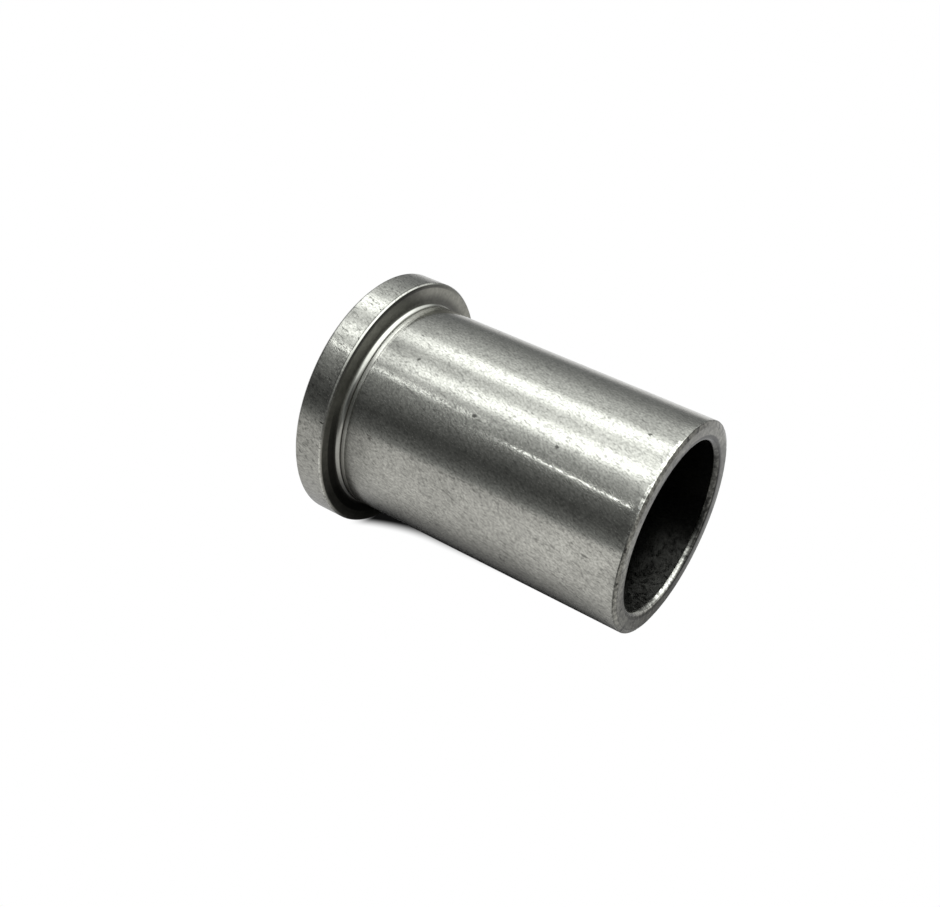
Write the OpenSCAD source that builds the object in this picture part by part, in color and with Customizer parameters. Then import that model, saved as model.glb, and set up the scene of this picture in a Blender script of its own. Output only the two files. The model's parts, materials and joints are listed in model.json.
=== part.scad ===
/* [Bore and tube] */
// Diameter of the bore, a running fit on its shaft
bore_d = 16; // [6:0.1:60]
// Thickness of the tube's wall
wall = 2; // [1.2:0.1:8]
// Length of the tube past the flange's seat, to the open end
tube_l = 29.2; // [6:0.1:120]

/* [Flange] */
// How far the flange stands out from the tube, all round
flange_reach = 2; // [0.8:0.1:15]
// Thickness of the flange
flange_t = 3; // [1.5:0.1:12]

/* [Edges] */
// Radius of the rolled edge at each mouth of the bore
mouth_r = 0.55; // [0.1:0.05:0.9]
// Lead on the outside of the tube's open end, along the tube
lead_l = 0.2; // [0.05:0.05:0.4]
// How far that lead reaches in over the end's face
lead_in = 0.5; // [0.1:0.05:0.6]
// Chamfer on both edges of the flange's rim
rim_c = 0.2; // [0.05:0.05:0.3]

/* [Root relief] */
// Radius where the relief runs up into the flange's seat
root_r = 0.5; // [0.15:0.05:0.6]
// Depth of the relief below the outside of the tube
relief_depth = 0.1; // [0.05:0.01:0.14]
// Length of the ramp that brings the relief back up to the tube
ramp_l = 0.15; // [0.1:0.05:1.5]

/* [Hidden] */
$fn = 128;
bore_r = bore_d / 2;
tube_r = bore_r + wall;
flange_r = tube_r + flange_reach;
length = flange_t + tube_l;
relief_r = tube_r - relief_depth;
relief_z = flange_t + root_r;
// Extra reach of the cutters past the faces that they cut
over = 1;

// Cutter for a convex round of radius r, on a corner at the origin with material at +x, -y
module round_corner(r) {
    difference() {
        translate([-over, -r])
            square([over + r, r + over]);
        translate([r, -r])
            circle(r = r);
    }
}

// Cutter for a chamfer on a corner at the origin with material at -x, -y: its reach in x and in y
module chamfer_corner(across, along) {
    polygon([[-across, 0], [-across, over], [over, over], [over, -along], [0, -along]]);
}

// Tube and flange as pressed, with the corner that the root radius is cut from
module blank_section() {
    translate([bore_r, 0])
        square([wall, length]);
    translate([bore_r, 0])
        square([flange_r - bore_r, flange_t]);
    translate([relief_r, 0])
        square([root_r, relief_z]);
}

// Shallow relief at the root of the flange: an arc out of the seat, then a ramp back to the tube
module root_relief() {
    translate([relief_r + root_r, relief_z])
        intersection() {
            circle(r = root_r);
            translate([-root_r, -root_r])
                square([2 * root_r, root_r]);
        }
    polygon([
        [relief_r, relief_z],
        [tube_r, relief_z + ramp_l],
        [tube_r + root_r, relief_z + ramp_l],
        [tube_r + root_r, relief_z]
    ]);
}

// Half section of the bushing, in the plane of its axis
module section() {
    difference() {
        blank_section();
        root_relief();
        // Mouths of the bore, at the open end and in the flange's face
        translate([bore_r, length])
            round_corner(mouth_r);
        translate([bore_r, 0])
            mirror([0, 1])
                round_corner(mouth_r);
        // Lead at the tube's open end
        translate([tube_r, length])
            chamfer_corner(lead_in, lead_l);
        // Both edges of the rim
        translate([flange_r, flange_t])
            chamfer_corner(rim_c, rim_c);
        translate([flange_r, 0])
            mirror([0, 1])
                chamfer_corner(rim_c, rim_c);
    }
}

module bushing() {
    color("#9a9b97")
        rotate_extrude()
            section();
}

bushing();
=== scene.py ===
"""Looks of the flanged bushing: one turned steel piece, its finish, a white studio and the camera.

Every size is in metres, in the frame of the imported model: the flange's outer face lies on z = 0
and +Z runs along the bore to the open end. Sides of the bushing are azimuths in degrees, from the
side that faces the camera and growing towards +X, which is downwards in the photograph.
"""

import json
import math

import bpy
from mathutils import Matrix, Vector


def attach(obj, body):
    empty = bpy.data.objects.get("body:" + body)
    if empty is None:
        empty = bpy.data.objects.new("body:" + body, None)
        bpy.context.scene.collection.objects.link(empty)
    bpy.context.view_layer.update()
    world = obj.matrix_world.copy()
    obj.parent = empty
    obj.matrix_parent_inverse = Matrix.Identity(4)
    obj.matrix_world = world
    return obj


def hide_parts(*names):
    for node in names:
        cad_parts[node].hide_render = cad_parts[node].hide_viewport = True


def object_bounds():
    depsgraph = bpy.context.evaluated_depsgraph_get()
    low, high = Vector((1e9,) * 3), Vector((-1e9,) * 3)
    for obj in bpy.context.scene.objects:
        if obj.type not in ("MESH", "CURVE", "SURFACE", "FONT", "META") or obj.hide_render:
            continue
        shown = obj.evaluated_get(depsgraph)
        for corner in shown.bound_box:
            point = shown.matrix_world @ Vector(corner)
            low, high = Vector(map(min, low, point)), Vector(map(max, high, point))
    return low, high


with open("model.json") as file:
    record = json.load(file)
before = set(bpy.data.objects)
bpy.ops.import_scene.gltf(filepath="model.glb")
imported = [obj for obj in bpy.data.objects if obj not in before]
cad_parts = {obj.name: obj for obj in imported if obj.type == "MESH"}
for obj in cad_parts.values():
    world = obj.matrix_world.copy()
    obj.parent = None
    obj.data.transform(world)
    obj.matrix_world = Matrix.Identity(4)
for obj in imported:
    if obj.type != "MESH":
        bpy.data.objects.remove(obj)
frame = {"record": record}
CAD_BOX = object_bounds()

MM = 0.001

# How much further the rim stands out in the photograph than in the solid
RIM_EXTRA = 0.08 * MM

# Sizes of the bushing that the frame gives
MOUNTS = {mount["name"]: mount for mount in frame["record"]["mounts"]}
BORE_R = MOUNTS["bore"]["dims"]["r_mm"] * MM
TUBE_R = MOUNTS["tube_outside"]["dims"]["r_mm"] * MM
SEAT_Z = MOUNTS["flange_seat"]["pos_m"][2]
FLANGE_R = CAD_BOX[1].x + RIM_EXTRA
LENGTH = CAD_BOX[1].z

# Edges of the bushing
MOUTH_R = 0.55 * MM
LEAD_L = 0.17 * MM
LEAD_IN = 0.45 * MM
RIM_C = 0.2 * MM
BACK_RIM_C = 0.18 * MM
ROOT_R = 0.53 * MM
RELIEF_DEPTH = 0.1 * MM
RAMP_L = 0.1 * MM
# Straight stretch between the root's arc and the ramp
RAMP_GAP = 0.05 * MM
# Slight ridge that the tool raised at the end of the ramp, and how far it takes to run out
RIDGE_H = 0.034 * MM
RIDGE_L = 0.36 * MM
# Softness of the edges that the tool left
BROKEN_EDGE_R = 0.05 * MM
LEAD_EDGE_R = 0.1 * MM
RAMP_EDGE_R = 0.04 * MM
RIDGE_EDGE_R = 0.1 * MM
# Where the root's arc ends, and where the lead starts on the tube and ends on the face
ROOT_Z = SEAT_Z + ROOT_R
LEAD_Z = LENGTH - LEAD_L
LEAD_R = TUBE_R - LEAD_IN
# How far from the open end and from the tube's outside the dents of that edge reach
EDGE_DENT_REACH = 2.5 * LEAD_L

# Inputs of the tree that turns the section: fineness of the mesh, slight unevenness of the turned
# surfaces, and dents along the outer edge of the open end
TURNING_INPUTS = {
    "Tube radius": TUBE_R,
    "Open end": LENGTH,
    "Sides around": 448,
    "Points per edge": 8,
    "Longest step": 0.8 * MM,
    "Wave height": 0.004 * MM,
    "Wave length": 3.5 * MM,
    "Wave seed": 4.0,
    "Dent depth": 0.025 * MM,
    "Dent length": 0.45 * MM,
}
# How strongly large faces pull the normals, so that they stay flat beside narrow edges
FLAT_FACE_WEIGHT = 50

# Colour of the clean steel, and where the seat and the open end have lightly browned
STEEL_COLOUR = (0.396, 0.393, 0.359)
STAINED_COLOUR = (0.398, 0.392, 0.345)
# Height and contrast of the grain, and turn of the marks along the tube, in radians for each metre
GRAIN_RELIEF = 0.0026 * MM
GRAIN_CONTRAST = 1.5
MARK_TWIST = -25.0
# How deep the dark marks lie beside the grain, and how much of the relief some zones keep
MARK_DEPTH = 0.4
RELIEF_SHARES = {"bore": 0.3, "mouth": 0.3, "burnished": 0.75}
# How much of the grain the smooth zones lose
SMOOTHING = 0.85
# Sizes of the marks
GRAIN_SIZE = 0.16 * MM
FLECK_SIZE = 0.27 * MM
STREAK_SIZE = 0.22 * MM
BLOTCH_SIZE = 1.6 * MM
PATCH_SIZE = 0.4 * MM
RAGGED_SIZE = 0.35 * MM
PIT_EDGE_SIZE = 0.25 * MM
MOUTH_PIT_SIZE = 0.5 * MM
CUT_SIZE = 0.22 * MM
SMOKE_SIZE = 0.8 * MM
# How far the outer edge of the mouth's finish wavers
MOUTH_WAVER = 0.5 * MM
# How much the marks darken the steel, and how much more the first three do so on the rim
MARK_SHADES = {"streaks": 0.5, "pores": 0.55, "flecks": 0.32}
RIM_MARKS = 1.7
DENT_SHADE = 0.75
PIT_SHADE = 0.75
# Pores of the tube and pits of the open end, in cells for each metre
PORE_CELLS = 420.0
PIT_CELLS = 800.0
# The few deeper dents on the tube: azimuth, height and size in millimetres
DENTS = ((-24.8, 7.6, 0.24), (-12.2, 23.2, 0.26), (-9.7, 15.3, 0.28), (-38.5, 29.4, 0.2))

# Sides of the zones that don't go all round: azimuth, and half angles where the zone ends and up to
# which it is full
SIDES = {
    "low_rim": (44, 30, 12),
    "upper_rim": (-32, 32, 18),
    "rim_line": (-30, 42, 30),
    "low_chamfer": (52, 30, 14),
    "inner_chamfer": (-25, 48, 32),
    "chamfer_glint": (-24, 20, 13),
    "back_edge": (-40, 75, 45),
    "upper_seat": (-95, 50, 25),
    "seat_stain": (-28, 42, 25),
    "low_seat": (45, 75, 35),
    "low_inner_seat": (60, 52, 25),
    "seat_edge": (-45, 55, 25),
    "upper_strip": (-45, 34, 15),
    "low_strip": (38, 30, 12),
    "upper_arc": (-52, 30, 14),
    "low_arc": (38, 38, 16),
    "under_arc": (90, 42, 22),
    "root_shade": (60, 62, 25),
    "upper_root_shade": (-40, 45, 25),
    "burnished": (-2, 10, 4),
    "low_end": (45, 48, 28),
    "end_stain": (-35, 65, 25),
    "far_end": (-165, 70, 40),
    "lead": (30, 60, 30),
    "nicks": (-16, 34, 22),
    "lead_line": (60, 80, 40),
    "mouth_stain": (-125, 100, 65),
    "mouth_shade": (-52, 52, 36),
    "mouth_pits": (-130, 80, 60),
    "cuts": (135, 65, 45),
    "crescent": (156, 30, 12),
    "residue": (137, 52, 28),
}
# Sides where the groove's painted shade is faint, and where the chamfer and the lead's edge have no painted
# shade
FAINT_GROOVE_SIDE = (48, 50, 22)
UNSHADED_CHAMFER_SIDE = (-5, 95, 75)
UNSHADED_LEAD_SIDE = (-18, 32, 22)
# Lightness of each zone beside the clean tube, most of them painted light and painted shade
LEVELS = {
    "rim": 1.05,
    # Painted light on the rim's lower and upper sides
    "low_rim": 1.35,
    "upper_rim": 1.08,
    "rim_line": 0.55,
    # Painted shade on the chamfer's far sides and inner half, painted light on its lower side
    "chamfer_shade": 0.18,
    "low_chamfer": 1.7,
    "inner_chamfer": 0.45,
    # Painted shade on the back edge's upper side
    "back_edge": 0.4,
    # The seat: darker overall, partly for its oily finish and partly as painted shade; more painted shade on
    # its upper side, by the rim above and next to the tube below, and painted light on its lower side
    "seat": 0.34,
    "seat_stain": 0.55,
    "low_seat": 1.9,
    "low_inner_seat": 0.25,
    "seat_edge": 0.35,
    # Painted shade in the groove, painted light on the strip and the arc, painted shade under the arc and on
    # the tube next to the root
    "groove": 0.3,
    "upper_strip": 1.8,
    "low_strip": 1.6,
    "upper_arc": 1.25,
    "low_arc": 1.35,
    "under_arc": 0.5,
    "root_shade": 0.6,
    "upper_root_shade": 0.78,
    # Painted light on the tube's lower side by the open end
    "low_end": 1.18,
    "end": 0.47,
    # Painted shade on the face's upper and far sides, painted light on the lead, painted shade along the
    # lead's edge and painted glints at its nicks
    "end_stain": 0.65,
    "far_end": 0.4,
    "lead": 1.25,
    "lead_edge": 0.4,
    "nicks": 2.2,
    "lead_line": 0.55,
    "mouth_edge": 0.55,
    # Painted shade on the mouth's far and upper sides
    "mouth_stain": 0.26,
    "mouth_shade": 0.12,
    "mouth_pits": 0.5,
    # Painted highlight on the mouth's lower side
    "crescent": 2.8,
    "cuts": 0.6,
    # The bore: darker partly for its oily wall and partly as painted shade in the hole
    "bore": 0.15,
}
# Lightness of the chamfer where a highlight is painted on it, and of the residue in the bore
GLINT_LEVEL = 1.2
RESIDUE_LEVEL = 0.22
# Roughness of the grain, from its valleys to its tops, and of the zones and marks that differ from it
GRAIN_ROUGHNESS = (0.09, 0.16)
ROUGHNESS = {
    "burnished": 0.07,
    "dark_marks": 0.4,
    "end": 0.28,
    "bore": 0.3,
    "residue": 0.62,
    "root_shade": 0.26,
    "smooth": 0.12,
    "strips": 0.3,
    "crescent": 0.16,
    "seat": 0.42,
}

# Camera of the photograph
CAMERA_PLACE = Vector((0.0, -0.11154, 0.06457))
CAMERA_AIM = Vector((0.00151, -0.00002, 0.01166))
CAMERA_ROLL = math.radians(114.97)
CAMERA_LENS = 51.15
SENSOR_WIDTH = 36.0

# The bushing lies on its rim and its open end: direction from its axis to the floor
FLOOR_SIDE = math.radians(41.0)
# Size of the floor and of the tent over it
TENT_R = 0.5
PAPER_COLOUR = (0.9, 0.9, 0.9, 1.0)
# Painted glow of the floor in the bushing's reflections, by distance, darker further away as painted shade
FLOOR_FADE = ((0.0, 1.0), (0.03, 0.98), (0.06, 0.93), (0.1, 0.9), (0.25, 0.82), (0.5, 0.7))
# Reach of the painted shadow, from ambient occlusion, on the floor that the bushing mirrors
MIRRORED_SHADOW_REACH = 40 * MM
# Painted shade on the floor's side towards the camera in these reflections: azimuth, half angles where the
# shade ends and up to which it is full, distances where it starts and where it is full, and its level
CAMERA_AZIMUTH = 165
CAMERA_SHADE_REACH = (50, 15)
CAMERA_SHADE_FROM = (12 * MM, 45 * MM)
CAMERA_SHADE = 0.25
# Levels of the painted shade in these reflections on the floor's left side, and far behind the bushing
LEFT_LEVEL = 0.86
BEHIND_LEVEL = 0.55
# The way that the tube points over the floor, and the way across it
ALONG_TUBE = (0.82, -0.57, 0.0)
ACROSS_TUBE = (0.57, 0.82, 0.0)
# Painted shadow of the bushing on the floor: half width under the tube, softness, level of its core, where
# it starts to widen towards the flange and how fast, and where it ends
SHADOW_HALF_WIDTH = 2.8 * MM
SHADOW_SOFTNESS = 0.84 * MM
SHADOW_CORE = 0.005
FLARE_FROM = -8 * MM
FLARE_RATE = 31.0
SHADOW_START = -15.8 * MM
SHADOW_END = 12 * MM

# Brightness of the tent by height, as the sine of the elevation, on its lit and on its dark side
LIT_SIDE = (
    (0.0, 0.28), (0.15, 0.28), (0.26, 0.35), (0.43, 0.48), (0.515, 0.62), (0.6, 0.8),
    (0.68, 0.98), (0.75, 1.05), (0.91, 1.08), (0.96, 1.25), (1.0, 1.4),
)
DARK_SIDE = (
    (0.0, 0.42), (0.08, 0.28), (0.17, 0.18), (0.28, 0.12), (0.36, 0.1), (0.515, 0.16), (0.616, 0.25),
    (0.71, 0.38), (0.79, 0.56), (0.85, 0.72), (0.91, 1.0), (0.96, 1.25), (1.0, 1.4),
)
# Azimuth of the dark side in the studio, and half angles where it ends and up to which it is full
DARK_AZIMUTH = -125
DARK_REACH = (76, 45)
TENT_COLOUR = (0.972, 1.0, 1.005, 1.0)
# Lamps behind the tent's cloth. Round ones: azimuth and elevation, reach, softness, strength
DISC_LAMPS = (
    ((95, 32), 30, 13, 0.7),
    ((55, 30), 20, 12, 0.8),
    ((122, 65), 34, 16, 1.15),
    ((-91, 71), 7, 4, 0.6),
    ((0, 62), 7, 4, 0.5),
)
# Long ones: azimuth and elevation of both ends, half width, softness, strength
STRIP_LAMPS = (
    ((-21, 50), (0, 66), 7.0, 4.5, 1.35),
    ((-67, 59), (-95, 72), 6.0, 4.0, 1.05),
    ((-87, 54), (-103, 54.3), 0.9, 0.6, 3.2),
    ((-117, 46.2), (-127, 43), 0.5, 0.35, 4.2),
)
# How much softer the ends of a long lamp are than its sides, in degrees
STRIP_END_SOFTNESS = 2


def cosine(degrees):
    return math.cos(math.radians(degrees))


class Wiring:
    """Adds nodes to one tree. A socket or a plain value can feed any input."""

    def __init__(self, tree):
        self.tree = tree

    def feed(self, socket, value):
        if isinstance(value, bpy.types.NodeSocket):
            self.tree.links.new(value, socket)
        else:
            socket.default_value = value

    def add(self, kind, feeds=None, **settings):
        node = self.tree.nodes.new(kind)
        for name, value in settings.items():
            setattr(node, name, value)
        for name, value in (feeds or {}).items():
            self.feed(node.inputs[name], value)
        return node

    def math(self, operation, *values):
        node = self.add("ShaderNodeMath", operation=operation)
        for socket, value in zip(node.inputs, values):
            self.feed(socket, value)
        return node.outputs[0]

    def vector(self, operation, *values):
        node = self.add("ShaderNodeVectorMath", operation=operation)
        for socket, value in zip(node.inputs, values):
            self.feed(socket, value)
        return node.outputs["Value" if operation in ("LENGTH", "DOT_PRODUCT") else "Vector"]

    def product(self, first, *others):
        for other in others:
            first = self.math("MULTIPLY", first, other)
        return first

    def rest(self, share):
        """What a share leaves of one."""
        return self.math("SUBTRACT", 1.0, share)

    def spread(self, noise, size):
        """Noise as a number that goes both ways from zero."""
        return self.math("MULTIPLY", self.math("SUBTRACT", noise, 0.5), size)

    def rise(self, value, low, high, floor=0.0, top=1.0):
        """A smooth step from floor to top as value goes from low to high."""
        node = self.add(
            "ShaderNodeMapRange",
            {"Value": value, "From Min": low, "From Max": high, "To Min": floor, "To Max": top},
            interpolation_type="SMOOTHSTEP",
        )
        return node.outputs["Result"]

    def band(self, value, low, high, soft):
        """One between low and high, zero outside, with soft ends."""
        inside = self.rise(value, low - soft, low + soft)
        outside = self.rise(value, high - soft, high + soft)
        return self.math("SUBTRACT", inside, outside)

    def noise(self, place, size, detail=2.0, roughness=0.5, distortion=0.0):
        """Noise with marks of about the given size."""
        node = self.add(
            "ShaderNodeTexNoise",
            {"Vector": place, "Scale": 1.0 / size, "Detail": detail,
             "Roughness": roughness, "Distortion": distortion},
        )
        return node.outputs["Fac"]

    def level_curve(self, value, points):
        """A smooth line through points of value and level."""
        low, high = points[0][0], points[-1][0]
        top = max(level for _, level in points)
        share = self.add("ShaderNodeMapRange", {"Value": value, "From Min": low, "From Max": high})
        node = self.add("ShaderNodeFloatCurve", {"Value": share.outputs["Result"]})
        line = node.mapping.curves[0]
        for _ in points[2:]:
            line.points.new(0.5, 0.5)
        for point, (at, level) in zip(line.points, points):
            point.location = ((at - low) / (high - low), level / top)
            point.handle_type = "AUTO_CLAMPED"
        node.mapping.update()
        return self.math("MULTIPLY", node.outputs[0], top)

    def mix(self, share, first, second):
        """A number between first and second."""
        node = self.add("ShaderNodeMix", {"Factor": share})
        self.feed(node.inputs[2], first)
        self.feed(node.inputs[3], second)
        return node.outputs[0]


# The turned piece

def section_corners():
    """Corners of the half section, each as radius, height and the round on it."""
    relief_r = TUBE_R - RELIEF_DEPTH
    ramp_z = ROOT_Z + RAMP_GAP
    return [
        (BORE_R, 0.0, MOUTH_R),
        (FLANGE_R - BACK_RIM_C, 0.0, BROKEN_EDGE_R),
        (FLANGE_R, BACK_RIM_C, BROKEN_EDGE_R),
        (FLANGE_R, SEAT_Z - RIM_C, BROKEN_EDGE_R),
        (FLANGE_R - RIM_C, SEAT_Z, BROKEN_EDGE_R),
        (relief_r, SEAT_Z, ROOT_R),
        (relief_r, ramp_z, RAMP_EDGE_R),
        (TUBE_R + RIDGE_H, ramp_z + RAMP_L, RAMP_EDGE_R / 2),
        (TUBE_R, ramp_z + RAMP_L + RIDGE_L, RIDGE_EDGE_R),
        (TUBE_R, LEAD_Z, LEAD_EDGE_R),
        (LEAD_R, LENGTH, LEAD_EDGE_R),
        (BORE_R, LENGTH, MOUTH_R),
    ]


def section_curve():
    """The half section as a closed curve: x is the distance from the tube's outside, y the height."""
    curve = bpy.data.curves.new("bushing_section", "CURVE")
    curve.dimensions = "3D"
    spline = curve.splines.new("POLY")
    corners = section_corners()
    spline.points.add(len(corners) - 1)
    for point, (radius, height, edge) in zip(spline.points, corners):
        point.co = (radius - TUBE_R, -height, 0.0, 1.0)
        point.radius = edge
    spline.use_cyclic_u = True
    section = bpy.data.objects.new("bushing_section", curve)
    bpy.context.scene.collection.objects.link(section)
    return section


def split_section(wire, given):
    """The section with its corners rounded and its long stretches split."""
    edge = wire.add("GeometryNodeInputRadius").outputs["Radius"]
    rounded = wire.add(
        "GeometryNodeFilletCurve",
        {"Curve": given["Section"], "Radius": edge, "Limit Radius": True},
        mode="POLY",
    )
    wire.feed(rounded.inputs["Count"], given["Points per edge"])
    along = wire.add("GeometryNodeSplineParameter").outputs
    following = wire.math("ADD", along["Index"], 1)
    next_length = wire.add(
        "GeometryNodeFieldAtIndex", {"Value": along["Length"], "Index": following}, domain="POINT"
    ).outputs["Value"]
    stretch = wire.math("SUBTRACT", next_length, along["Length"])
    steps = wire.math("MAXIMUM", wire.math("DIVIDE", stretch, given["Longest step"]), 0.0)
    split = wire.add("GeometryNodeSubdivideCurve", {"Curve": rounded.outputs[0], "Cuts": steps})
    return split.outputs[0]


def seeded_noise(wire, given, size, detail):
    """Noise of a size and of the tree's own seed."""
    node = wire.add(
        "ShaderNodeTexNoise", {"W": given["Wave seed"], "Detail": detail}, noise_dimensions="4D"
    )
    wire.feed(node.inputs["Scale"], wire.math("DIVIDE", 1.0, given[size]))
    return node.outputs["Fac"]


def edge_dents(wire, given):
    """Depth of the dents along the outer edge of the open end."""
    place = wire.add("GeometryNodeInputPosition").outputs[0]
    height = wire.add("ShaderNodeSeparateXYZ", {"Vector": place}).outputs["Z"]
    radius = wire.vector("LENGTH", wire.vector("MULTIPLY", place, (1.0, 1.0, 0.0)))
    from_end = wire.math("SUBTRACT", given["Open end"], height)
    from_side = wire.math("SUBTRACT", given["Tube radius"], radius)
    near_end = wire.rise(from_end, LEAD_L, EDGE_DENT_REACH, 1.0, 0.0)
    near_side = wire.rise(from_side, LEAD_L, EDGE_DENT_REACH, 1.0, 0.0)
    dents = wire.rise(seeded_noise(wire, given, "Dent length", 2.0), 0.48, 0.72)
    return wire.product(dents, wire.product(near_end, near_side), given["Dent depth"])


def unevenness(wire, given):
    """Offset of the turned surface along its normal: slight waves, less the dents."""
    wave = wire.spread(seeded_noise(wire, given, "Wave length", 1.0), given["Wave height"])
    offset = wire.add("ShaderNodeVectorMath", operation="SCALE")
    wire.feed(offset.inputs[0], wire.add("GeometryNodeInputNormal").outputs[0])
    wire.feed(offset.inputs["Scale"], wire.math("SUBTRACT", wave, edge_dents(wire, given)))
    return offset.outputs["Vector"]


def turning_tree(material):
    """Sweeps the section round the axis, turns the faces outward and makes them slightly uneven."""
    tree = bpy.data.node_groups.new("turn_section", "GeometryNodeTree")
    tree.interface.new_socket("Section", in_out="INPUT", socket_type="NodeSocketGeometry")
    for name, value in TURNING_INPUTS.items():
        kind = "NodeSocketInt" if isinstance(value, int) else "NodeSocketFloat"
        tree.interface.new_socket(name, in_out="INPUT", socket_type=kind)
    tree.interface.new_socket("Bushing", in_out="OUTPUT", socket_type="NodeSocketGeometry")
    wire = Wiring(tree)
    given = wire.add("NodeGroupInput").outputs

    ring = wire.add(
        "GeometryNodeCurvePrimitiveCircle",
        {"Resolution": given["Sides around"], "Radius": given["Tube radius"]},
    )
    swept = wire.add(
        "GeometryNodeCurveToMesh",
        {"Curve": ring.outputs[0], "Profile Curve": split_section(wire, given)},
    )
    outward = wire.add("GeometryNodeFlipFaces", {"Mesh": swept.outputs[0]})
    waved = wire.add(
        "GeometryNodeSetPosition", {"Geometry": outward.outputs[0], "Offset": unevenness(wire, given)}
    )
    smooth = wire.add("GeometryNodeSetShadeSmooth", {"Geometry": waved.outputs[0]})
    whole = wire.add("GeometryNodeRealizeInstances", {"Geometry": smooth.outputs[0]})
    finished = wire.add("GeometryNodeSetMaterial", {"Geometry": whole.outputs[0], "Material": material})
    wire.add("NodeGroupOutput", {"Bushing": finished.outputs[0]})
    return tree


def plain_mesh(thing, name):
    """The evaluated object as a plain mesh."""
    evaluated = thing.evaluated_get(bpy.context.evaluated_depsgraph_get())
    mesh = bpy.data.meshes.new_from_object(evaluated)
    mesh.name = name
    return mesh


def make_bushing(material):
    section = section_curve()
    turning = section.modifiers.new("turning", "NODES")
    turning.node_group = turning_tree(material)
    for item in turning.node_group.interface.items_tree:
        if item.name in TURNING_INPUTS:
            turning[item.identifier] = TURNING_INPUTS[item.name]
    bushing = bpy.data.objects.new("turned_bushing", plain_mesh(section, "turned_bushing"))
    bpy.context.scene.collection.objects.link(bushing)
    bpy.data.objects.remove(section)

    flats = bushing.modifiers.new("flat_faces_stay_flat", "WEIGHTED_NORMAL")
    flats.weight = FLAT_FACE_WEIGHT
    mesh = plain_mesh(bushing, "turned_bushing")
    bushing.modifiers.remove(flats)
    bushing.data = mesh

    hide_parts("bushing")
    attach(bushing, "root")


# Zones of the finish and of the painted light and shade

class Surface:
    """Shares of the bushing's surface by height, distance from the axis and side.

    Heights and distances are in millimetres from a base that is in metres.
    """

    def __init__(self, wire, place):
        self.wire = wire
        self.place = place
        self.height = wire.add("ShaderNodeSeparateXYZ", {"Vector": place}).outputs["Z"]
        outward = wire.vector("MULTIPLY", place, (1.0, 1.0, 0.0))
        self.radius = wire.vector("LENGTH", outward)
        self.side = wire.vector("NORMALIZE", outward)
        self.ragged = wire.noise(place, RAGGED_SIZE, detail=3.0, roughness=0.6)

    def heights(self, base, low, high, soft):
        return self.wire.band(self.height, base + low * MM, base + high * MM, soft * MM)

    def above(self, base, none_at, full_at):
        return self.wire.rise(self.height, base + none_at * MM, base + full_at * MM)

    def below(self, base, full_at, none_at):
        return self.wire.rise(self.height, base + full_at * MM, base + none_at * MM, 1.0, 0.0)

    def radii(self, base, low, high, soft):
        return self.wire.band(self.radius, base + low * MM, base + high * MM, soft * MM)

    def outside(self, base, none_at, full_at):
        return self.wire.rise(self.radius, base + none_at * MM, base + full_at * MM)

    def inside(self, base, full_at, none_at):
        return self.wire.rise(self.radius, base + full_at * MM, base + none_at * MM, 1.0, 0.0)

    def towards(self, azimuth, none_from, full_from):
        """One on the side at an azimuth, zero on the others."""
        a = math.radians(azimuth)
        near = self.wire.vector("DOT_PRODUCT", self.side, (math.sin(a), -math.cos(a), 0.0))
        return self.wire.rise(near, cosine(none_from), cosine(full_from))


def root_zones(wire, at):
    """The relief's arc, the groove and the strip beside it, which carry painted light and painted shade, and
    the painted shade on the tube next to them.
    """
    inside_rim = at.inside(FLANGE_R, -0.14, -0.08)
    arc = wire.product(at.heights(ROOT_Z, -0.39, 0.0, 0.04), inside_rim)
    strip = wire.product(at.heights(ROOT_Z, 0.0, 0.47, 0.04), inside_rim)
    groove = wire.product(at.heights(ROOT_Z, 0.01, 0.15, 0.03), inside_rim)
    return {
        # What has next to no grain: the seat, the arc and the strip
        "smooth": wire.product(at.heights(SEAT_Z, -0.12, 1.0, 0.04), inside_rim),
        "strip": strip,
        "groove": wire.product(groove, wire.mix(at.towards(*FAINT_GROOVE_SIDE), 1.0, 0.5)),
        "upper_strip": wire.math("MAXIMUM", strip, at.heights(SEAT_Z, 0.8, 1.3, 0.14)),
        "low_strip": strip,
        "upper_arc": arc,
        "low_arc": arc,
        "under_arc": arc,
        # Painted shade on the tube next to the flange
        "upper_root_shade": wire.product(at.heights(SEAT_Z, 1.3, 6.0, 0.1), at.below(SEAT_Z, 1.2, 7.0)),
        "root_shade": at.below(SEAT_Z, 1.0, 6.0),
    }


def seat_zones(wire, at):
    """The flange's seat, which is dull, lightly browned and darker, partly for its oily finish and partly as
    painted shade, with more painted shade and painted light by side.
    """
    seat = wire.product(at.heights(SEAT_Z, -0.12, 0.11, 0.03), at.inside(FLANGE_R, -0.14, -0.08))
    return {
        "seat": seat,
        "upper_seat": seat,
        "seat_stain": seat,
        "low_seat": seat,
        "low_inner_seat": wire.product(seat, at.inside(TUBE_R, 1.0, 1.12)),
        "seat_edge": wire.product(seat, at.radii(FLANGE_R, -0.4, 0.0, 0.06)),
    }


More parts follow.
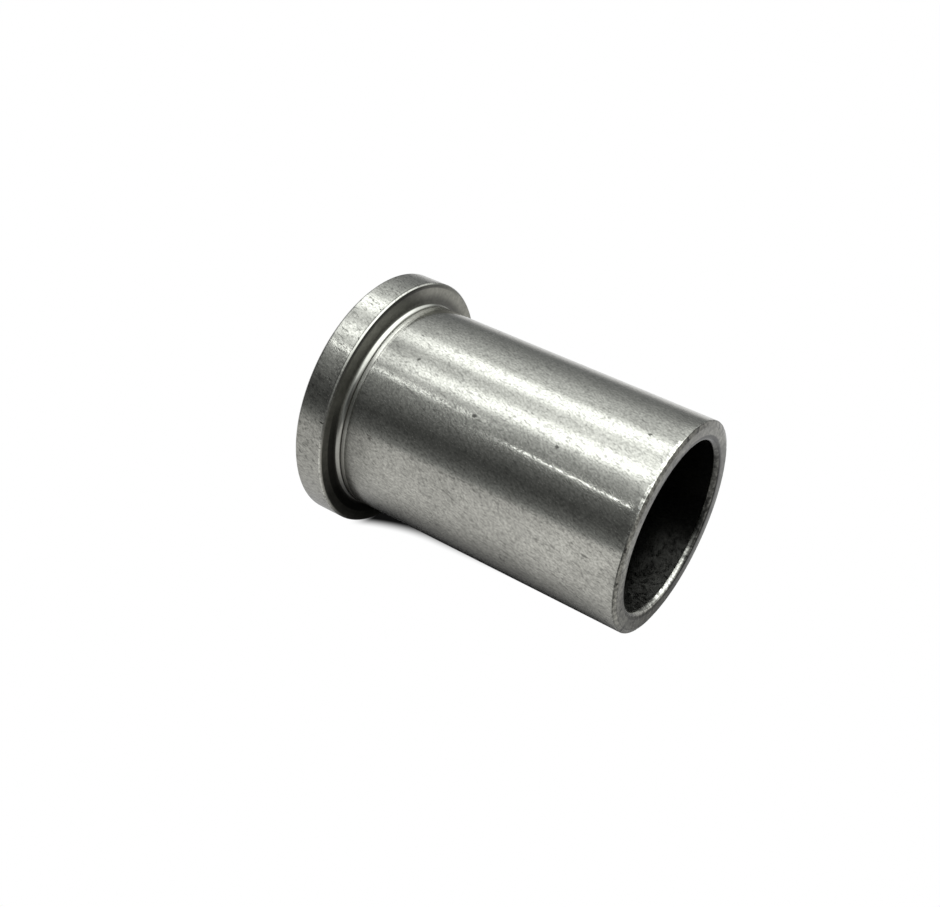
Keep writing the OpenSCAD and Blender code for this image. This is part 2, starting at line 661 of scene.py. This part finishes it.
def rim_zones(wire, at):
    """The flange's rim and its chamfers, with painted light, painted shade and a painted highlight on them.
    """
    rim = at.outside(FLANGE_R, -0.12, -0.02)
    chamfer = wire.product(
        wire.band(at.height, SEAT_Z - RIM_C - 0.02 * MM, SEAT_Z - 0.01 * MM, 0.02 * MM),
        at.outside(FLANGE_R - RIM_C, -0.05, 0.0),
    )
    outer_half = at.below(SEAT_Z, -0.12, -0.08)
    return {
        "rim": rim,
        "low_rim": rim,
        "upper_rim": rim,
        "rim_line": wire.product(rim, at.heights(SEAT_Z, -0.34, -0.25, 0.02)),
        "chamfer_shade": wire.product(chamfer, wire.rest(at.towards(*UNSHADED_CHAMFER_SIDE))),
        "low_chamfer": chamfer,
        "inner_chamfer": wire.product(chamfer, wire.rest(outer_half)),
        # Painted highlight on the chamfer's outer half
        "chamfer_glint": wire.product(chamfer, outer_half),
        "back_edge": at.below(0.0, 0.2, 0.3),
    }


def tube_zones(at):
    """Stretches of the tube's outside: one that is burnished, and one by the open end with painted light on
    its lower side.
    """
    return {
        "burnished": at.above(0.0, 16.0, 20.0),
        "low_end": at.above(0.0, 19.0, 28.0),
    }


def end_zones(wire, at):
    """The open end: its face and the lead round it, with a broken line along each of their edges, that along
    the lead's edge painted shade, with painted shade on the face, painted light on the lead and painted
    glints at the nicks of the lead's edge.
    """
    lead = wire.product(at.outside(LEAD_R, -0.04, 0.04), at.above(LEAD_Z, -0.03, 0.03))
    end = wire.math("MAXIMUM", at.above(LENGTH, -0.1, -0.02), lead)
    broken = wire.rise(at.ragged, 0.38, 0.55, 0.45, 1.0)
    on_side = at.outside(TUBE_R, -0.15, -0.1)
    edge = wire.product(at.heights(LEAD_Z, -0.07, 0.05, 0.03), on_side)
    wide_edge = wire.product(at.heights(LEAD_Z, -0.3, 0.05, 0.04), on_side)
    return {
        "end": end,
        "end_stain": end,
        "far_end": end,
        "lead": lead,
        "lead_edge": wire.product(edge, broken, wire.rest(at.towards(*UNSHADED_LEAD_SIDE))),
        # Painted glints where the lead's edge is nicked
        "nicks": wire.product(wide_edge, wire.rise(at.ragged, 0.46, 0.56)),
        "lead_line": wire.product(end, at.radii(LEAD_R, -0.1, 0.02, 0.03), broken),
        "mouth_edge": wire.product(end, at.radii(BORE_R, 0.3, 0.62, 0.06)),
    }


def mouth_zones(wire, at):
    """The rounded mouth of the open end, with its painted shade, painted highlight, pits and cuts, and the
    bore behind it, which is darker partly as painted shade.
    """
    by_height = wire.rise(at.height, LENGTH - 1.02 * MOUTH_R, LENGTH - 0.9 * MOUTH_R)
    wavering = wire.math("ADD", at.radius, wire.spread(at.ragged, MOUTH_WAVER))
    by_radius = wire.rise(wavering, BORE_R + 1.05 * MOUTH_R, BORE_R + 1.3 * MOUTH_R, 1.0, 0.0)
    mouth = wire.product(by_height, by_radius)
    in_bore = at.inside(BORE_R, 0.02, 0.12)
    pits = wire.rise(wire.noise(at.place, MOUTH_PIT_SIZE, detail=3.0), 0.5, 0.58)
    round_the_mouth = wire.vector("MULTIPLY", at.side, (BORE_R,) * 3)
    cuts = wire.rise(wire.noise(round_the_mouth, CUT_SIZE), 0.4, 0.62)
    return {
        "mouth": mouth,
        "mouth_stain": mouth,
        "mouth_shade": wire.product(by_height, at.inside(BORE_R, 0.64, 0.76)),
        "mouth_pits": wire.product(mouth, pits),
        "cuts": wire.product(mouth, cuts),
        "crescent": wire.product(mouth, at.below(LENGTH, -0.2, -0.06)),
        "bore": wire.math("SUBTRACT", in_bore, wire.product(in_bore, mouth)),
        "residue": wire.product(in_bore, at.above(LENGTH, -4.8, -2.0), smoke(wire, at.place)),
    }


def smoke(wire, place):
    """Cloudy edges of the residue in the bore."""
    cloud = wire.noise(place, SMOKE_SIZE, detail=4.0, roughness=0.65, distortion=1.2)
    return wire.rise(cloud, 0.35, 0.65, 0.15, 1.0)


def finish_zones(wire, at):
    """Shares from 0 to 1 of all the zones of the finish and of the painted light and shade."""
    found = {
        **root_zones(wire, at),
        **seat_zones(wire, at),
        **rim_zones(wire, at),
        **tube_zones(at),
        **end_zones(wire, at),
        **mouth_zones(wire, at),
    }
    for name, side in SIDES.items():
        found[name] = wire.product(found[name], at.towards(*side))
    return found


# Marks of the finish

def tube_marks(wire, at):
    """Grain, flecks, streaks and pores, which run along the tube a little askew, and a few dents."""
    twist = wire.math("MULTIPLY", at.height, MARK_TWIST)
    askew = wire.add("ShaderNodeVectorRotate", {"Vector": at.place, "Angle": twist}, rotation_type="Z_AXIS")

    def stretched(share):
        return wire.vector("MULTIPLY", askew.outputs["Vector"], (1.0, 1.0, share))

    grain = wire.noise(stretched(0.6), GRAIN_SIZE, detail=2.5, roughness=0.55)
    flecks = wire.noise(stretched(0.5), FLECK_SIZE, detail=2.0, roughness=0.6, distortion=0.5)
    streaks = wire.noise(stretched(0.3), STREAK_SIZE, detail=1.0)
    blotches = wire.noise(stretched(0.7), BLOTCH_SIZE, detail=3.0, roughness=0.6)
    crowd = wire.rise(blotches, 0.35, 0.7, 0.2, 1.0)

    cells = wire.add("ShaderNodeTexVoronoi", {"Vector": stretched(0.6), "Scale": PORE_CELLS}).outputs
    chance = wire.add("ShaderNodeSeparateColor", {"Color": cells["Color"]}).outputs["Red"]
    pore_size = wire.rise(chance, 0.6, 1.0, 0.001, 0.09)
    pores = wire.math("DIVIDE", wire.math("ADD", cells["Distance"], wire.spread(grain, 0.25)), pore_size)
    return {
        "grain": grain,
        "flecks": wire.rise(flecks, 0.54, 0.7),
        "streaks": wire.product(wire.rise(streaks, 0.6, 0.74), crowd),
        "blotches": blotches,
        "pores": wire.rise(pores, 0.3, 1.1, 1.0, 0.0),
        "dents": tube_dents(wire, at.place, flecks),
    }


def tube_dents(wire, place, flecks):
    """The few deeper dents on the tube, with ragged outlines."""
    dented = 0.0
    for azimuth, height, size in DENTS:
        a = math.radians(azimuth)
        spot = (TUBE_R * math.sin(a), -TUBE_R * math.cos(a), height * MM)
        off = wire.vector("LENGTH", wire.vector("SUBTRACT", place, spot))
        off = wire.math("ADD", off, wire.spread(flecks, 0.8 * MM))
        dented = wire.math("MAXIMUM", dented, wire.rise(off, 0.4 * size * MM, size * MM, 1.0, 0.0))
    return dented


def end_pits(wire, place):
    """Shallow ragged pits of the open end's face."""
    ragged = wire.noise(place, PIT_EDGE_SIZE, detail=2.0)
    flat = {"Vector": place, "Scale": PIT_CELLS}
    cells = wire.add("ShaderNodeTexVoronoi", flat, voronoi_dimensions="2D").outputs
    chance = wire.add("ShaderNodeSeparateColor", {"Color": cells["Color"]}).outputs["Green"]
    pit_size = wire.rise(chance, 0.3, 1.0, 0.01, 0.3)
    reach = wire.math("DIVIDE", wire.math("ADD", cells["Distance"], wire.spread(ragged, 0.8)), pit_size)
    return wire.rise(reach, 0.4, 1.1, 1.0, 0.0)


def dark_marks(wire, at, zone, marks, grainy):
    """Share of the marks that darken and dull the steel."""
    dark = 0.0
    for name, shade in MARK_SHADES.items():
        dark = wire.math("MAXIMUM", dark, wire.product(marks[name], shade))
    dark = wire.product(dark, grainy, wire.mix(zone["rim"], 1.0, RIM_MARKS))
    dark = wire.math("MAXIMUM", dark, wire.product(marks["dents"], DENT_SHADE))
    return wire.math("MAXIMUM", dark, wire.product(end_pits(wire, at.place), zone["end"], PIT_SHADE))


# The steel

def steel_shade(wire, at, zone, marks, dark, grainy):
    """Lightness of the steel: grain and marks, then the level of each zone, which paints light and shade
    into the colour on most of them.
    """
    shade = wire.math("ADD", 1.05, wire.product(wire.spread(marks["grain"], GRAIN_CONTRAST), grainy))
    shade = wire.product(shade, wire.rest(dark), wire.rise(marks["blotches"], 0.3, 0.7, 1.08, 0.98))

    mottled = wire.math("MAXIMUM", zone["end"], zone["mouth"])
    mottled = wire.math("MAXIMUM", mottled, wire.product(zone["seat"], 0.3))
    patches = wire.noise(at.place, PATCH_SIZE, detail=4.0, roughness=0.7)
    shade = wire.product(shade, wire.mix(mottled, 1.0, wire.rise(patches, 0.32, 0.68, 0.5, 1.5)))
    # Painted light on the seat's upper side, growing towards the rim
    lighter_outward = wire.rise(at.radius, TUBE_R + 0.4 * MM, TUBE_R + 1.4 * MM, 0.6, 1.7)
    shade = wire.product(shade, wire.mix(zone["upper_seat"], 1.0, lighter_outward))

    for name, level in LEVELS.items():
        shade = wire.product(shade, wire.mix(zone[name], 1.0, level))
    # Painted highlight on the chamfer, which sets its lightness outright
    shade = wire.mix(zone["chamfer_glint"], shade, GLINT_LEVEL)
    return wire.mix(zone["residue"], shade, RESIDUE_LEVEL)


def steel_colour(wire, zone, shade):
    """The clean colour, or the browned one on the seat and the open end, by lightness."""
    tinted = wire.math("MAXIMUM", zone["end"], zone["seat"])
    colour = wire.add("ShaderNodeCombineColor")
    for channel, clean, stained in zip(colour.inputs, STEEL_COLOUR, STAINED_COLOUR):
        wire.feed(channel, wire.product(shade, wire.mix(tinted, clean, stained)))
    return colour.outputs[0]


def steel_roughness(wire, zone, marks, dark):
    """Roughness of the grain, and of the zones that differ from it."""
    strips = wire.math("MAXIMUM", zone["strip"], zone["upper_strip"])
    shares = {**zone, "dark_marks": dark, "strips": strips}
    roughness = wire.rise(marks["grain"], 0.25, 0.75, *GRAIN_ROUGHNESS)
    for name, level in ROUGHNESS.items():
        roughness = wire.mix(shares[name], roughness, level)
    return roughness


def steel_relief(wire, zone, marks, dark, grainy):
    """Normal of the grain: flat tops with shallow valleys, weaker in the bore and where burnished."""
    hill = wire.math("SUBTRACT", wire.rise(marks["grain"], 0.25, 0.52), wire.product(dark, MARK_DEPTH))
    strength = grainy
    for name, share in RELIEF_SHARES.items():
        strength = wire.product(strength, wire.mix(zone[name], 1.0, share))
    bump = wire.add("ShaderNodeBump", {"Height": hill, "Distance": GRAIN_RELIEF, "Strength": strength})
    return bump.outputs[0]


def bushing_steel():
    """Bare grey steel: burnished along the tube, with fine grain, short streaks and open pores, and with
    light and shade painted into its colour by zone.
    """
    steel = bpy.data.materials.new("bushing_steel")
    steel.use_nodes = True
    wire = Wiring(steel.node_tree)
    shader = steel.node_tree.nodes["Principled BSDF"]
    shader.inputs["Metallic"].default_value = 1.0

    at = Surface(wire, wire.add("ShaderNodeTexCoord").outputs["Object"])
    zone = finish_zones(wire, at)
    marks = tube_marks(wire, at)
    grainy = wire.rest(wire.product(zone["smooth"], SMOOTHING))
    dark = dark_marks(wire, at, zone, marks, grainy)
    shade = steel_shade(wire, at, zone, marks, dark, grainy)
    wire.feed(shader.inputs["Base Color"], steel_colour(wire, zone, shade))
    wire.feed(shader.inputs["Roughness"], steel_roughness(wire, zone, marks, dark))
    wire.feed(shader.inputs["Normal"], steel_relief(wire, zone, marks, dark, grainy))
    return steel


# The studio

def studio_matrix():
    """Axes of the studio (right, ahead and up as the camera sees them) and its centre under the bushing."""
    rim_z = SEAT_Z - RIM_C
    tilt = math.atan2(FLANGE_R - TUBE_R, LEAD_Z - rim_z)
    to_floor = Vector((math.cos(FLOOR_SIDE), math.sin(FLOOR_SIDE), 0.0))
    along = Vector((0.0, 0.0, 1.0))
    up = -(math.cos(tilt) * to_floor + math.sin(tilt) * along)
    view = CAMERA_AIM - CAMERA_PLACE
    ahead = (view - view.dot(up) * up).normalized()
    right = ahead.cross(up)
    rim_foot = FLANGE_R * to_floor + rim_z * along
    end_foot = TUBE_R * to_floor + LEAD_Z * along
    centre = (rim_foot + end_foot) / 2
    turn = Matrix((right, ahead, up)).transposed().to_4x4()
    return Matrix.Translation(centre) @ turn


def stage_disc(name, shape, studio, rings, sides):
    """A round stage piece: shape gives distance and height for each ring, from the middle out."""
    points = [(0.0, 0.0, shape(0.0)[1])]
    faces = []
    for ring in range(1, rings + 1):
        distance, lift = shape(ring / rings)
        for side in range(sides):
            angle = 2 * math.pi * side / sides
            points.append((distance * math.cos(angle), distance * math.sin(angle), lift))
    for side in range(sides):
        following = (side + 1) % sides
        faces.append((0, 1 + side, 1 + following))
        for ring in range(rings - 1):
            inner, outer = 1 + ring * sides, 1 + (ring + 1) * sides
            faces.append((inner + side, outer + side, outer + following, inner + following))
    mesh = bpy.data.meshes.new(name)
    mesh.from_pydata(points, [], faces)
    piece = bpy.data.objects.new(name, mesh)
    bpy.context.scene.collection.objects.link(piece)
    piece.matrix_world = studio
    return piece


def direction(azimuth, elevation):
    """A direction in the studio's axes: azimuth 0 is ahead and 90 is right, in degrees."""
    a, e = math.radians(azimuth), math.radians(elevation)
    return Vector((math.sin(a) * math.cos(e), math.cos(a) * math.cos(e), math.sin(e)))


def white_to_the_eye(wire):
    """One for the rays that show the background: those of the camera, of gloss and through glass."""
    path = wire.add("ShaderNodeLightPath").outputs
    seen = wire.math("MAXIMUM", path["Is Camera Ray"], path["Is Glossy Ray"])
    return wire.math("MAXIMUM", seen, path["Is Transmission Ray"])


def floor_shadow(wire, place):
    """White of the floor as the camera sees it, with the bushing's painted shadow: dark in a strip under the
    tube that widens at the flange.
    """
    along = wire.vector("DOT_PRODUCT", place, ALONG_TUBE)
    across = wire.math("ABSOLUTE", wire.vector("DOT_PRODUCT", place, ACROSS_TUBE))
    flare = wire.math("MAXIMUM", wire.math("SUBTRACT", FLARE_FROM, along), 0.0)
    half_width = wire.math("ADD", SHADOW_HALF_WIDTH, wire.product(flare, flare, FLARE_RATE))
    outside = wire.math("SUBTRACT", across, half_width)
    strip = wire.rise(outside, -SHADOW_SOFTNESS, SHADOW_SOFTNESS, 1.0, 0.0)
    between_ends = wire.band(along, SHADOW_START, SHADOW_END, SHADOW_SOFTNESS)
    return wire.mix(wire.product(strip, between_ends), 1.0, SHADOW_CORE)


def mirrored_floor(wire, place):
    """Painted glow of the floor as the bushing mirrors it, with painted shade close to the bushing, before
    the camera, on its left and far behind.
    """
    away = wire.vector("LENGTH", place)
    occlusion = wire.add("ShaderNodeAmbientOcclusion", {"Distance": MIRRORED_SHADOW_REACH}, samples=4)
    axes = wire.add("ShaderNodeSeparateXYZ", {"Vector": place}).outputs
    towards_camera = direction(CAMERA_AZIMUTH, 0)
    near_camera = wire.vector("DOT_PRODUCT", wire.vector("NORMALIZE", place), towards_camera)
    ends, full = CAMERA_SHADE_REACH
    on_its_side = wire.rise(near_camera, cosine(ends), cosine(full))
    shaded = wire.product(on_its_side, wire.rise(away, *CAMERA_SHADE_FROM))
    return wire.product(
        wire.level_curve(away, FLOOR_FADE),
        wire.rise(occlusion.outputs["AO"], 0.24, 0.98),
        wire.rise(axes["X"], -50 * MM, 10 * MM, LEFT_LEVEL, 1.0),
        wire.rise(axes["Y"], 20 * MM, 200 * MM, 1.0, BEHIND_LEVEL),
        wire.mix(shaded, 1.0, CAMERA_SHADE),
    )


def make_floor(studio):
    """White floor that the camera sees with the bushing's painted shadow, turning pure white further away,
    and that the bushing mirrors as a painted glow with painted shade.
    """
    def flat(share):
        return share * TENT_R, 0.0

    floor = stage_disc("floor", flat, studio, rings=1, sides=96)
    paper = bpy.data.materials.new("white_paper")
    paper.use_nodes = True
    wire = Wiring(paper.node_tree)
    nodes = paper.node_tree.nodes
    shader = nodes["Principled BSDF"]
    shader.inputs["Base Color"].default_value = PAPER_COLOUR
    shader.inputs["Roughness"].default_value = 0.9
    shader.inputs["Specular IOR Level"].default_value = 0.0

    place = wire.add("ShaderNodeTexCoord").outputs["Object"]
    to_camera = wire.add("ShaderNodeLightPath").outputs["Is Camera Ray"]
    level = wire.mix(to_camera, mirrored_floor(wire, place), floor_shadow(wire, place))
    white = wire.add("ShaderNodeEmission", {"Strength": level})
    lit = wire.add("ShaderNodeMixShader", {"Fac": white_to_the_eye(wire)})
    wire.feed(lit.inputs[1], shader.outputs[0])
    wire.feed(lit.inputs[2], white.outputs[0])
    # From below it isn't there, so that the bushing shows from every side
    behind = wire.add("ShaderNodeNewGeometry").outputs["Backfacing"]
    sided = wire.add("ShaderNodeMixShader", {"Fac": behind})
    wire.feed(sided.inputs[1], lit.outputs[0])
    wire.feed(sided.inputs[2], wire.add("ShaderNodeBsdfTransparent").outputs[0])
    wire.feed(nodes["Material Output"].inputs["Surface"], sided.outputs[0])
    floor.data.materials.append(paper)


def dark_side(wire, look):
    """The share of the tent's dark side, which is the one towards the camera and to its left."""
    level_look = wire.vector("NORMALIZE", wire.vector("MULTIPLY", look, (1.0, 1.0, 0.0)))
    near = wire.vector("DOT_PRODUCT", level_look, direction(DARK_AZIMUTH, 0))
    ends, full = DARK_REACH
    return wire.rise(near, cosine(ends), cosine(full))


def disc_lamp(wire, look, towards, reach, soft, strength):
    """Light of a round lamp behind the tent's cloth."""
    near = wire.vector("DOT_PRODUCT", look, direction(*towards))
    return wire.rise(near, cosine(reach + soft), cosine(reach - soft), 0.0, strength)


def strip_lamp(wire, look, start, end, half_width, soft, strength):
    """Light of a long lamp behind the tent's cloth, from one direction to another."""
    start, end = direction(*start), direction(*end)
    across = start.cross(end).normalized()
    middle = (start + end).normalized()
    off = wire.math("ABSOLUTE", wire.vector("DOT_PRODUCT", look, across))
    inner = math.sin(math.radians(half_width - soft))
    outer = math.sin(math.radians(half_width + soft))
    line = wire.rise(off, inner, outer, strength, 0.0)
    half_length = math.degrees(start.angle(middle))
    along = wire.vector("DOT_PRODUCT", look, middle)
    dark_from = half_length + soft + STRIP_END_SOFTNESS
    return wire.product(line, wire.rise(along, cosine(dark_from), cosine(half_length)))


def make_tent(studio):
    """Light tent over the floor: bright above, dim towards the horizon and on the camera's side."""
    def dome(share):
        angle = share * math.pi / 2
        return TENT_R * math.sin(angle), TENT_R * math.cos(angle)

    tent = stage_disc("light_tent", dome, studio, rings=24, sides=64)
    tent.visible_camera = False
    cloth = bpy.data.materials.new("tent_cloth")
    cloth.use_nodes = True
    cloth.cycles.emission_sampling = "NONE"
    wire = Wiring(cloth.node_tree)
    nodes = cloth.node_tree.nodes
    nodes.remove(nodes["Principled BSDF"])
    look = wire.vector("NORMALIZE", wire.add("ShaderNodeTexCoord").outputs["Object"])
    lift = wire.add("ShaderNodeSeparateXYZ", {"Vector": look}).outputs["Z"]

    level = wire.mix(
        dark_side(wire, look), wire.level_curve(lift, LIT_SIDE), wire.level_curve(lift, DARK_SIDE)
    )
    for lamp in DISC_LAMPS:
        level = wire.math("ADD", level, disc_lamp(wire, look, *lamp))
    for lamp in STRIP_LAMPS:
        level = wire.math("ADD", level, strip_lamp(wire, look, *lamp))
    glow = wire.add("ShaderNodeEmission", {"Color": TENT_COLOUR, "Strength": level})
    wire.feed(nodes["Material Output"].inputs["Surface"], glow.outputs[0])
    tent.data.materials.append(cloth)


def make_world():
    world = bpy.data.worlds.new("white_surround")
    world.use_nodes = True
    wire = Wiring(world.node_tree)
    surround = world.node_tree.nodes["Background"]
    surround.inputs["Color"].default_value = (1.0, 1.0, 1.0, 1.0)
    wire.feed(surround.inputs["Strength"], white_to_the_eye(wire))
    bpy.context.scene.world = world


def make_camera():
    lens = bpy.data.cameras.new("photo_camera")
    lens.lens = CAMERA_LENS
    lens.sensor_width = SENSOR_WIDTH
    lens.clip_start = 0.005
    lens.clip_end = 5.0
    camera = bpy.data.objects.new("photo_camera", lens)
    bpy.context.scene.collection.objects.link(camera)
    level = (CAMERA_AIM - CAMERA_PLACE).to_track_quat("-Z", "Y").to_matrix().to_4x4()
    roll = Matrix.Rotation(CAMERA_ROLL, 4, "Z")
    camera.matrix_world = Matrix.Translation(CAMERA_PLACE) @ level @ roll
    bpy.context.scene.camera = camera


bpy.context.scene.view_settings.view_transform = "Standard"
make_camera()
make_bushing(bushing_steel())
studio = studio_matrix()
make_floor(studio)
make_tent(studio)
make_world()
